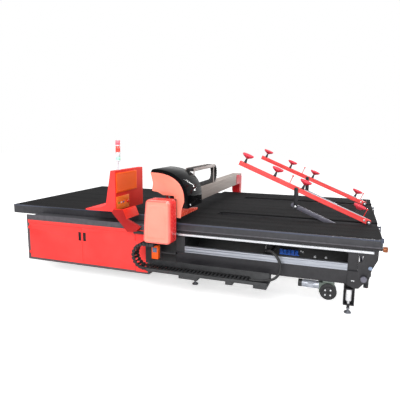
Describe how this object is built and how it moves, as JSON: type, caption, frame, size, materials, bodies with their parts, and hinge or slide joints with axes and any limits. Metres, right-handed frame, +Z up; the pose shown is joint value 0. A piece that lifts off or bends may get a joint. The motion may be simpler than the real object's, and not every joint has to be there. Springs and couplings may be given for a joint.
{
  "type": "glass cutting table",
  "caption": "Glass cutting table: felt bed with a travelling bridge and cutting head, side console, base cabinet and tilting loading arms with suction cups.",
  "frame": {"origin": "centre of the bounding box in plan, on the floor", "axes": "+X along the table towards the loading arms' pivots, +Y from the cabinet side to the rear, +Z up"},
  "size_m": [5.252, 3.35, 1.88],
  "materials": {
    "frame_dark": "satin",
    "felt": "matte",
    "fascia": "satin",
    "ledge": "satin",
    "rail": "satin",
    "alu": "satin",
    "white": "satin",
    "black_plastic": "matte",
    "gloss_black": "gloss",
    "salmon": "gloss",
    "red": "gloss",
    "dark_red": "satin",
    "orange": "gloss",
    "arm_red": "satin",
    "cup_red": "satin",
    "steel": "satin",
    "blue_steel": "satin",
    "green_grey": "satin",
    "cab_grey": "satin",
    "beam": "satin",
    "blue": "satin",
    "brass": "satin",
    "bright_red": "gloss",
    "lens": "gloss",
    "green": "gloss",
    "white_plastic": "gloss",
    "blue_plastic": "gloss"
  },
  "bodies": {
    "table": {"main_frame": "frame_dark", "felt_boards": "felt", "top_fascia": "fascia", "side_ledges": "ledge", "bridge_rails": "rail", "grooved_profile": "alu", "end_brace": "frame_dark", "bay_panels": "black_plastic", "jack_cylinder": "white", "levelling_feet": "steel", "chain_tray": "alu", "x_chain": "black_plastic", "junction_bar": "frame_dark", "junction_box": "orange", "gearbox": "green_grey", "gear_caps": "black_plastic", "gear_motor": "alu", "edge_stops": "steel", "lift_guides": "rail", "cabinet_shell": "cab_grey", "cabinet_panels": "red", "cabinet_fittings": "rail"},
    "bridge": {"bridge_beam": "beam", "end_plate": "salmon", "bridge_foot": "red", "hood": "gloss_black", "saddle": "frame_dark", "drive_cover": "salmon", "rear_upright": "dark_red", "beam_rails": "rail", "chain_bar": "alu", "console_body": "red", "console_panels": "orange", "console_arm": "dark_red", "tower_pole": "white_plastic", "tower_lenses": "lens"},
    "stop_button": {"stop_button": "bright_red"},
    "button_a": {"button_a": "green"},
    "button_b": {"button_b": "white_plastic"},
    "button_c": {"button_c": "blue_plastic"},
    "head": {"head_carriage": "frame_dark", "y_chain": "black_plastic"},
    "head_slide": {"head_slide": "dark_red"},
    "cutter": {"cutter_holder": "steel"},
    "wheel": {"cutter_wheel": "steel"},
    "lift": {"lift_yoke": "frame_dark", "tilt_drive": "blue"},
    "arms": {"arm_beams": "arm_red", "cup_stems": "black_plastic", "suction_cups": "cup_red", "ball_rods": "bright_red", "vacuum_pipe": "white_plastic"},
    "levers": {"levers": "blue_steel"},
    "links": {"links": "frame_dark"},
    "door_left": {"door_left": "red", "handle_left": "black_plastic"},
    "door_right": {"door_right": "red", "handle_right": "black_plastic"},
    "knob": {"edge_knob": "brass"},
    "sync_shaft": {"lift_shaft": "blue_steel"}
  },
  "joints": [
    {"name": "bridge_travel", "type": "slide", "parent": "table", "child": "bridge", "axis": [1, 0, 0], "range_m": [0, 0.58], "deforming": ["x_chain"]},
    {"name": "head_travel", "type": "slide", "parent": "bridge", "child": "head", "axis": [0, 1, 0], "range_m": [0, 2.4], "deforming": ["y_chain"]},
    {"name": "head_lift", "type": "slide", "parent": "head", "child": "head_slide", "axis": [0, 0, 1], "range_m": [-0.03, 0]},
    {"name": "cutter_turn", "type": "hinge", "parent": "head_slide", "child": "cutter", "pos_m": [0.034, -1.115, 0.98], "axis": [0, 0, 1], "continuous": true},
    {"name": "wheel_spin", "type": "hinge", "parent": "cutter", "child": "wheel", "pos_m": [0.034, -1.115, 0.925], "axis": [1, 0, 0], "continuous": true},
    {"name": "arm_lift", "type": "slide", "parent": "table", "child": "lift", "axis": [0, 0, 1], "range_m": [-0.17, 0]},
    {"name": "arm_tilt", "type": "hinge", "parent": "lift", "child": "arms", "pos_m": [2.464, 0.1475, 0.9], "axis": [0, 1, 0], "range_deg": [-22.6, 47]},
    {"name": "lever_tilt", "type": "hinge", "parent": "lift", "child": "levers", "pos_m": [2.464, 0.1475, 0.67], "axis": [0, 1, 0], "range_deg": [-22.6, 47]},
    {"name": "link_turn", "type": "hinge", "parent": "levers", "child": "links", "pos_m": [1.5731, 0.1475, 1.04084], "axis": [0, 1, 0], "range_deg": [-47, 22.6]},
    {"name": "door_left_swing", "type": "hinge", "parent": "table", "child": "door_left", "pos_m": [-2.046, -1.433, 0.44], "axis": [0, 0, -1], "range_deg": [0, 90]},
    {"name": "door_right_swing", "type": "hinge", "parent": "table", "child": "door_right", "pos_m": [-0.34, -1.433, 0.44], "axis": [0, 0, 1], "range_deg": [0, 90]},
    {"name": "knob_turn", "type": "hinge", "parent": "table", "child": "knob", "pos_m": [2.604, -1.385, 0.774], "axis": [1, 0, 0], "continuous": true},
    {"name": "sync_shaft_turn", "type": "hinge", "parent": "table", "child": "sync_shaft", "pos_m": [2.41, 0.055, 0.438], "axis": [0, 1, 0], "range_deg": [-196, 0]},
    {"name": "stop_button_press", "type": "slide", "parent": "bridge", "child": "stop_button", "axis": [-1, 0, 0], "range_m": [0, 0.003], "stiffness_N_per_m": 800},
    {"name": "button_a_press", "type": "slide", "parent": "bridge", "child": "button_a", "axis": [-1, 0, 0], "range_m": [0, 0.003], "stiffness_N_per_m": 600},
    {"name": "button_b_press", "type": "slide", "parent": "bridge", "child": "button_b", "axis": [-1, 0, 0], "range_m": [0, 0.003], "stiffness_N_per_m": 600},
    {"name": "button_c_press", "type": "slide", "parent": "bridge", "child": "button_c", "axis": [-1, 0, 0], "range_m": [0, 0.003], "stiffness_N_per_m": 600}
  ],
  "couplings": [
    {"joint": "lever_tilt", "follows": "arm_tilt", "ratio": 1},
    {"joint": "link_turn", "follows": "arm_tilt", "ratio": -1},
    {"joint": "sync_shaft_turn", "follows": "arm_lift", "rad_per_m": 20}
  ]
}
